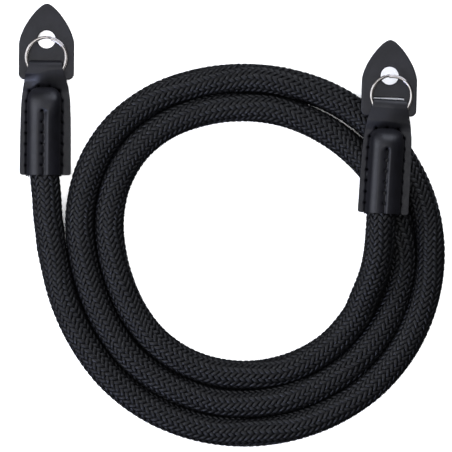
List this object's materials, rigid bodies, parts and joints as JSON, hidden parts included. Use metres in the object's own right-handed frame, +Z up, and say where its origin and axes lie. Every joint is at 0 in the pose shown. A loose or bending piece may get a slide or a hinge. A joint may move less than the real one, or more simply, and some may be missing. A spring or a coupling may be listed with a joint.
{
  "type": "coiled rope camera strap",
  "caption": "Neck strap of thick braided nylon rope coiled flat, with a stitched leather sleeve, split ring and pointed leather guard at each end.",
  "frame": {"origin": "middle of the box round the two end fittings, at the height of the surface that the strap lies on", "axes": "+Z up from the surface, +Y towards the points of the leather guards, +X from the left fitting to the right one"},
  "size_m": [0.1516, 0.1574, 0.0229],
  "materials": {
    "rope": "braided nylon, matt black",
    "leather": "fine-grained leather, satin black",
    "ring": "nickel-plated steel, polished"
  },
  "bodies": {
    "root": {"rope": "rope", "left_sleeve": "leather", "right_sleeve": "leather", "left_guard": "leather", "right_guard": "leather", "left_ring": "ring", "right_ring": "ring"}
  },
  "joints": []
}
